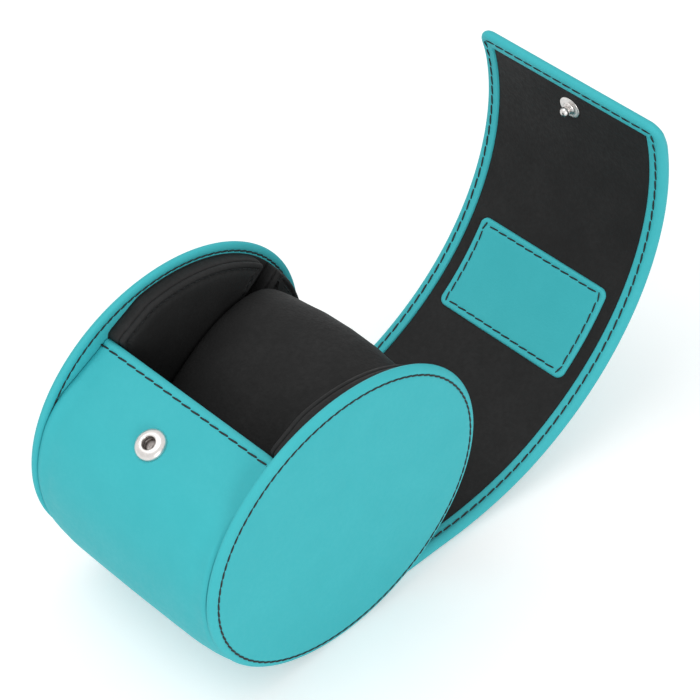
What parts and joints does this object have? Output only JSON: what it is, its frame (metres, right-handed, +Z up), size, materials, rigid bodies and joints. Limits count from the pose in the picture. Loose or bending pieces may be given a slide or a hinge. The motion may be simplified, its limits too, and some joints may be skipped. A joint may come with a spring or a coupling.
{
  "type": "watch travel case",
  "caption": "Roll-shaped travel case for a watch, with oval end discs, padded sides, a soft pillow and a long curved leather flap that wraps over and snaps to the front wall.",
  "frame": {"origin": "centre of the box round the open case, on the table it rests on", "axes": "+X along the roll, +Y from the front wall towards the open flap, +Z up"},
  "size_m": [0.0746, 0.1828, 0.1093],
  "materials": {
    "leather_teal": "smooth matt grain",
    "lining_black": "soft matt grain",
    "board": "pressed fibre board, matt",
    "foam": "soft foam",
    "snap_metal": "satin nickel plate",
    "snap_brass": "plain"
  },
  "bodies": {
    "shell": {"disc_leather_right": "leather_teal", "disc_board_right": "board", "disc_lining_right": "leather_teal", "pad_right": "lining_black", "pad_back_right": "lining_black", "disc_leather_left": "leather_teal", "disc_board_left": "board", "disc_lining_left": "leather_teal", "pad_left": "lining_black", "pad_back_left": "lining_black", "wall_leather": "leather_teal", "wall_board": "board", "wall_lining": "lining_black", "wall_edge": "leather_teal", "socket_cap": "snap_metal", "socket_spring": "snap_brass", "socket_barrel": "snap_brass", "pillow_cover": "lining_black", "pillow_core": "foam"},
    "panel_1": {"flap_leather_1": "leather_teal", "flap_board_1": "board", "flap_lining_1": "lining_black"},
    "panel_2": {"flap_leather_2": "leather_teal", "flap_board_2": "board", "flap_lining_2": "lining_black"},
    "panel_3": {"flap_leather_3": "leather_teal", "flap_board_3": "board", "flap_lining_3": "lining_black"},
    "panel_4": {"flap_leather_4": "leather_teal", "flap_board_4": "board", "flap_lining_4": "lining_black", "patch": "leather_teal"},
    "panel_5": {"flap_leather_5": "leather_teal", "flap_board_5": "board", "flap_lining_5": "lining_black", "stud": "snap_metal", "stud_rivet": "snap_brass"}
  },
  "joints": [
    {"name": "flap_hinge", "type": "hinge", "parent": "shell", "child": "panel_1", "pos_m": [0, -0.02139, 0.005], "axis": [1, 0, 0], "range_deg": [0, 38.23]},
    {"name": "flap_fold_2", "type": "hinge", "parent": "panel_1", "child": "panel_2", "pos_m": [0, 0.0034, 0.00422], "axis": [1, 0, 0], "range_deg": [0, 23.96]},
    {"name": "flap_fold_3", "type": "hinge", "parent": "panel_2", "child": "panel_3", "pos_m": [0, 0.0319, 0.00813], "axis": [1, 0, 0], "range_deg": [0, 24.6]},
    {"name": "flap_fold_4", "type": "hinge", "parent": "panel_3", "child": "panel_4", "pos_m": [0, 0.05753, 0.02119], "axis": [1, 0, 0], "range_deg": [0, 12.32]},
    {"name": "press_fold", "type": "hinge", "parent": "panel_4", "child": "panel_5", "pos_m": [0, 0.07947, 0.0474], "axis": [1, 0, 0], "range_deg": [0, 16.9]}
  ],
  "couplings": [
    {"joint": "flap_fold_2", "follows": "flap_hinge", "ratio": 0.62621},
    {"joint": "flap_fold_3", "follows": "flap_hinge", "ratio": 0.64295},
    {"joint": "flap_fold_4", "follows": "flap_hinge", "ratio": 0.32174}
  ]
}
